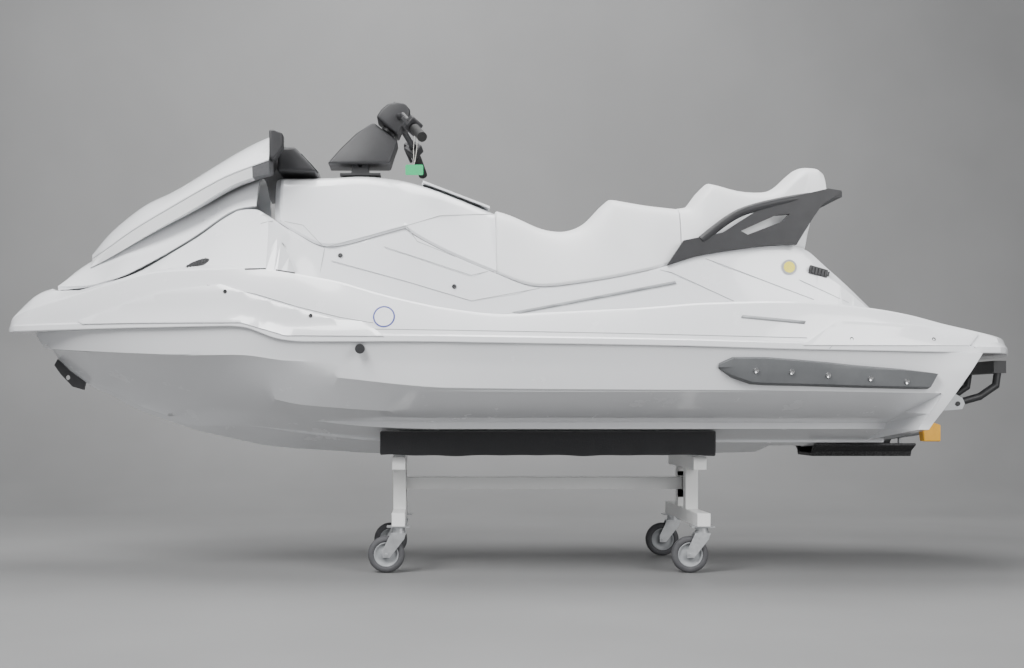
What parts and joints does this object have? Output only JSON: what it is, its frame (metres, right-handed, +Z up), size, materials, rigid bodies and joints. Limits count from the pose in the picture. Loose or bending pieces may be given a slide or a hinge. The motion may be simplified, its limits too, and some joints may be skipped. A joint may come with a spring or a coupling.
{
  "type": "personal watercraft on a shop dolly",
  "caption": "Sit-on jet-driven personal watercraft with bow hood, stepped bench seat, handlebar, swim platform and boarding step, resting on a wheeled two-bunk dolly.",
  "frame": {"origin": "on the floor under the middle of the craft's length and beam", "axes": "+X from bow to stern, +Y to starboard, +Z up"},
  "size_m": [3.586, 1.2756, 1.6768],
  "materials": {
    "gelcoat": "gloss",
    "grey_plastic": "satin",
    "black_plastic": "textured",
    "dark_plastic": "textured",
    "vinyl": "satin",
    "mat": "grooved foam",
    "rubber": "matt",
    "cast": "satin",
    "steel": "brushed",
    "powder_coat": "satin",
    "carpet": "looped pile",
    "screen": "gloss",
    "amber": "gloss",
    "tag": "gloss",
    "string": "twisted",
    "engine_grey": "matt",
    "zinc": "zinc plated",
    "wheel_grey": "matt"
  },
  "bodies": {
    "craft": {"hull": "gelcoat", "deck": "gelcoat", "console": "gelcoat", "dash": "black_plastic", "display": "screen", "bow_eye": "dark_plastic", "front_seat": "vinyl", "rear_seat": "vinyl", "grab_rail": "grey_plastic", "footwell_mats": "mat", "platform_mat": "mat", "sponsons": "grey_plastic", "ride_plate": "dark_plastic", "intake_grate": "dark_plastic", "stern_tabs": "amber", "pump_housing": "cast", "step_brackets": "cast", "stern_tow_eye": "steel", "drain_outlets": "steel", "engine_block": "engine_grey", "steering_base": "black_plastic", "dolly_frame": "powder_coat", "bunks": "carpet", "caster_plates": "zinc"},
    "hood_lid": {"hood": "gelcoat", "hood_trim": "grey_plastic", "hood_cowl": "gelcoat", "mirrors": "black_plastic"},
    "glovebox_door": {"glovebox_lid": "gelcoat"},
    "steering_post": {"steering_column": "black_plastic"},
    "handlebars": {"handlebar": "black_plastic", "grips": "rubber", "control_housings": "black_plastic", "control_levers": "black_plastic", "tag_cord": "string", "hang_tag": "tag"},
    "nozzle": {"jet_nozzle": "cast"},
    "bucket": {"reverse_bucket": "cast"},
    "impeller_shaft": {"impeller": "cast"},
    "step": {"boarding_step": "dark_plastic"},
    "swivel_front_port": {"fork_front_port": "zinc"},
    "roller_front_port": {"wheel_front_port": "wheel_grey"},
    "swivel_front_starboard": {"fork_front_starboard": "zinc"},
    "roller_front_starboard": {"wheel_front_starboard": "wheel_grey"},
    "swivel_rear_port": {"fork_rear_port": "zinc"},
    "roller_rear_port": {"wheel_rear_port": "wheel_grey"},
    "swivel_rear_starboard": {"fork_rear_starboard": "zinc"},
    "roller_rear_starboard": {"wheel_rear_starboard": "wheel_grey"}
  },
  "joints": [
    {"name": "hood_hinge", "type": "hinge", "parent": "craft", "child": "hood_lid", "pos_m": [-1.60039, 0, 0.99759], "axis": [0, -1, 0], "range_deg": [0, 50]},
    {"name": "glovebox_hinge", "type": "hinge", "parent": "craft", "child": "glovebox_door", "pos_m": [-0.28058, 0, 1.37874], "axis": [0, -1, 0], "range_deg": [0, 45]},
    {"name": "column_tilt", "type": "hinge", "parent": "craft", "child": "steering_post", "pos_m": [-0.50739, 0, 1.44796], "axis": [0, 1, 0], "range_deg": [-8, 8]},
    {"name": "steering", "type": "hinge", "parent": "steering_post", "child": "handlebars", "pos_m": [-0.50739, 0, 1.44796], "axis": [0.6157, 0, 0.788], "range_deg": [-22, 22]},
    {"name": "nozzle_steer", "type": "hinge", "parent": "craft", "child": "nozzle", "pos_m": [1.46255, 0, 0.52178], "axis": [0, 0, 1], "range_deg": [-20, 20]},
    {"name": "bucket_hinge", "type": "hinge", "parent": "craft", "child": "bucket", "pos_m": [1.46255, 0, 0.52178], "axis": [0, 1, 0], "range_deg": [0, 62]},
    {"name": "impeller_spin", "type": "hinge", "parent": "craft", "child": "impeller_shaft", "pos_m": [1.23571, 0, 0.52178], "axis": [1, 0, 0], "continuous": true},
    {"name": "step_hinge", "type": "hinge", "parent": "craft", "child": "step", "pos_m": [1.61408, 0, 0.58444], "axis": [0, 1, 0], "range_deg": [0, 100]},
    {"name": "swivel_front_port", "type": "hinge", "parent": "craft", "child": "swivel_front_port", "pos_m": [-0.364, -0.29, 0.15], "axis": [0, 0, 1], "continuous": true},
    {"name": "roll_front_port", "type": "hinge", "parent": "swivel_front_port", "child": "roller_front_port", "pos_m": [-0.406, -0.29, 0.0635], "axis": [0, 1, 0], "continuous": true},
    {"name": "swivel_front_starboard", "type": "hinge", "parent": "craft", "child": "swivel_front_starboard", "pos_m": [-0.364, 0.29, 0.15], "axis": [0, 0, 1], "continuous": true},
    {"name": "roll_front_starboard", "type": "hinge", "parent": "swivel_front_starboard", "child": "roller_front_starboard", "pos_m": [-0.406, 0.29, 0.0635], "axis": [0, 1, 0], "continuous": true},
    {"name": "swivel_rear_port", "type": "hinge", "parent": "craft", "child": "swivel_rear_port", "pos_m": [0.684, -0.29, 0.15], "axis": [0, 0, 1], "continuous": true},
    {"name": "roll_rear_port", "type": "hinge", "parent": "swivel_rear_port", "child": "roller_rear_port", "pos_m": [0.642, -0.29, 0.0635], "axis": [0, 1, 0], "continuous": true},
    {"name": "swivel_rear_starboard", "type": "hinge", "parent": "craft", "child": "swivel_rear_starboard", "pos_m": [0.684, 0.29, 0.15], "axis": [0, 0, 1], "continuous": true},
    {"name": "roll_rear_starboard", "type": "hinge", "parent": "swivel_rear_starboard", "child": "roller_rear_starboard", "pos_m": [0.642, 0.29, 0.0635], "axis": [0, 1, 0], "continuous": true}
  ],
  "couplings": [
    {"joint": "nozzle_steer", "follows": "steering", "ratio": -0.9}
  ]
}
